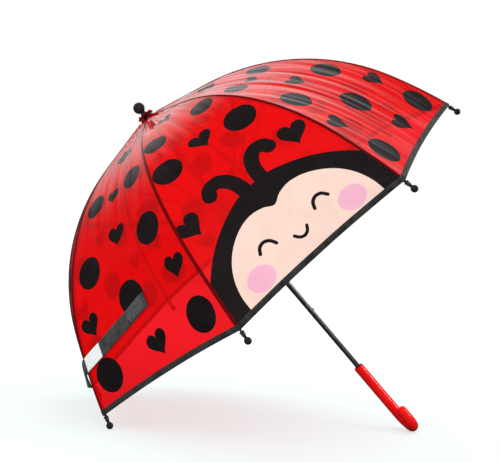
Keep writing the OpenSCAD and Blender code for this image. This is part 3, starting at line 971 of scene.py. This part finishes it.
strap, strap_len = strap_solid("tie_strap_webbing", STRAP_V0, STRAP_V1, 0.0, 0.9, 1.2, "webbing", tail=hang)
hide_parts("tie_strap")
fold_with(strap, 5)
patch, _ = strap_solid("strap_hook_patch", STRAP_V0 - 0.03, STRAP_V0 - 0.34, 1.2, 2.15, 1.1, "hooks", nv=24, round_ends=3.0)
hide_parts("strap_patch")
fold_with(patch, 5)
label, _ = strap_solid("blank_label", STRAP_V1 + 0.30, STRAP_V1 + 0.03, 0.6, 2.15, 0.35, "label", nv=24)
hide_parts("care_label")
fold_with(label, 5)

# ---------------------------------------------------------------- CAD pieces that keep their shape
KEPT = {
    "shaft_tube": "shaft", "crown_notch": "black", "crown_wire": "steel", "runner": "black", "stop_collar": "steel",
    "upper_catch": "steel", "lower_catch": "steel", "catch_pins": "steel",
}
for k in range(1, 9):
    KEPT[f"rib_{k}"] = "lacquer"
    KEPT[f"stretcher_{k}"] = "lacquer"
for name, mat in KEPT.items():
    o = nodes[name]
    if not o.material_slots:
        o.data.materials.append(M[mat])
    for i in range(len(o.material_slots)):
        o.material_slots[i].link = "OBJECT"
        o.material_slots[i].material = M[mat]
    weld = o.modifiers.new("weld", "WELD")
    weld.merge_threshold = 2e-6
    bev = o.modifiers.new("soft_edges", "BEVEL")
    bev.limit_method, bev.angle_limit = "ANGLE", 38 * D2R
    bev.width = 0.00022 if name.startswith(("rib", "stretcher", "runner", "crown_notch")) else 0.00012
    bev.segments = 2
    bev.use_clamp_overlap = True
    bev.harden_normals = True

# ---------------------------------------------------------------- each gore's width across the rim, worked out but not used
for k in range(1, 9):
    w = 2 * float(half_w(FILM_END)) / 1000

# ---------------------------------------------------------------- floor, world and lights
me = bpy.data.meshes.new("floor")
me.from_pydata([(-9, -9, 0), (9, -9, 0), (9, 9, 0), (-9, 9, 0)], [], [(0, 1, 2, 3)])
floor = bpy.data.objects.new("floor", me)
scene.collection.objects.link(floor)
mt = Mat("floor_paper")
# Blue-green floor colour: painted to turn the pink shade cast through the red film grey; where the floor is lit past
# white it does not show.
shade_greying_tint = mt.ramp(mt.noise(mt.uv(1, 1, 1, "Object"), 3.0, 3.0), [(0.3, (0.245, 0.325, 0.325)), (0.7, (0.255, 0.335, 0.335))])
pf = mt.principled(Roughness=0.9, IOR=1.2)
mt.link(shade_greying_tint, pf.inputs["Base Color"])
glow, seen_f, sum_f, dim_f = mt.node("ShaderNodeEmission"), mt.node("ShaderNodeLightPath"), mt.node("ShaderNodeAddShader"), mt.node("ShaderNodeMixShader")
glow.inputs["Color"].default_value = (1, 1, 1, 1)
away = mt.node("ShaderNodeVectorMath")
away.operation = "LENGTH"
mt.link(mt.uv(1, 1, 1, "Object"), away.inputs[0])
# Painted light: the floor glows for camera rays only, so it stays white out to the horizon; the glow is weaker towards
# the middle so the umbrella's shade on the floor still shows.
mt.link(mt.maths("MULTIPLY", seen_f.outputs["Is Camera Ray"], mt.range(away.outputs["Value"], 0.62, 0.95, 0.45, 1.5)), glow.inputs["Strength"])
# Painted reflection: glossy rays see the floor near-black, so the film and plastic reflect a dark floor instead of a
# lit one.
painted_dark_reflection = mt.principled(Roughness=0.9, IOR=1.2, Base_Color=(0.03, 0.03, 0.03, 1))
mt.link(seen_f.outputs["Is Glossy Ray"], dim_f.inputs[0])
mt.link(pf.outputs[0], dim_f.inputs[1])
mt.link(painted_dark_reflection.outputs[0], dim_f.inputs[2])
mt.link(dim_f.outputs[0], sum_f.inputs[0])
mt.link(glow.outputs[0], sum_f.inputs[1])
mt.finish(sum_f.outputs[0])
me.materials.append(mt.m)

wd = bpy.data.worlds.new("studio")
wd.use_nodes = True
scene.world = wd
nt = wd.node_tree
nt.nodes.clear()
wo = nt.nodes.new("ShaderNodeOutputWorld")
seen, room = nt.nodes.new("ShaderNodeBackground"), nt.nodes.new("ShaderNodeBackground")
seen.inputs["Color"].default_value = (1, 1, 1, 1)
seen.inputs["Strength"].default_value = 1.04
soft = nt.nodes.new("ShaderNodeBackground")
soft.inputs["Color"].default_value = (1, 1, 1, 1)
soft.inputs["Strength"].default_value = 0.95
tc, sx = nt.nodes.new("ShaderNodeTexCoord"), nt.nodes.new("ShaderNodeSeparateXYZ")
nt.links.new(tc.outputs["Generated"], sx.inputs[0])
glowing = None
for axis, lo, hi in (("X", -0.95, -0.35), ("Y", 0.25, 0.78), ("Z", 0.08, 0.42)):
    mr = nt.nodes.new("ShaderNodeMapRange")
    mr.interpolation_type = "SMOOTHSTEP"
    mr.inputs["From Min"].default_value, mr.inputs["From Max"].default_value = lo, hi
    nt.links.new(sx.outputs[axis], mr.inputs["Value"])
    if glowing is None:
        glowing = mr.outputs["Result"]
    else:
        mm = nt.nodes.new("ShaderNodeMath")
        mm.operation = "MULTIPLY"
        nt.links.new(glowing, mm.inputs[0])
        nt.links.new(mr.outputs["Result"], mm.inputs[1])
        glowing = mm.outputs[0]
last = nt.nodes.new("ShaderNodeMath")
last.operation = "MULTIPLY_ADD"
last.inputs[1].default_value, last.inputs[2].default_value = 1.06, 0.07
nt.links.new(glowing, last.inputs[0])
nt.links.new(last.outputs[0], room.inputs["Strength"])
lp, mx, mg = nt.nodes.new("ShaderNodeLightPath"), nt.nodes.new("ShaderNodeMixShader"), nt.nodes.new("ShaderNodeMixShader")
nt.links.new(lp.outputs["Is Glossy Ray"], mg.inputs[0])
nt.links.new(soft.outputs[0], mg.inputs[1])
nt.links.new(room.outputs[0], mg.inputs[2])
nt.links.new(lp.outputs["Is Camera Ray"], mx.inputs[0])
nt.links.new(mg.outputs[0], mx.inputs[1])
nt.links.new(seen.outputs[0], mx.inputs[2])
nt.links.new(mx.outputs[0], wo.inputs["Surface"])


def area_light(name, at, to, size, power, glossy=True):
    d = bpy.data.lights.new(name, "AREA")
    d.shape, d.size, d.size_y, d.energy = "RECTANGLE", size[0], size[1], power
    o = bpy.data.objects.new(name, d)
    o.location = at
    o.rotation_mode = "QUATERNION"
    o.rotation_quaternion = (Vector(to) - Vector(at)).to_track_quat("-Z", "Y")
    o.visible_glossy = glossy
    o.visible_camera = False
    scene.collection.objects.link(o)
    return o


area_light("key_right", (1.50, -0.50, 0.90), (0.2, 0, 0.1), (0.26, 0.6), 4.4)
area_light("strip_left", (-1.75, -0.80, 0.80), (0.0, 0, 0.3), (0.3, 0.6), 3.6, glossy=False)
area_light("top_soft", (0.2, 0.5, 2.6), (0.0, 0, 0.2), (2.0, 1.6), 30, glossy=False)
area_light("front_fill", (-0.9, -2.4, 1.5), (0, 0, 0.25), (2.4, 2.0), 43, glossy=False)

scene.view_settings.view_transform = "Standard"
scene.view_settings.look = "None"
scene.view_settings.exposure = 0.0
scene.view_settings.gamma = 1.0
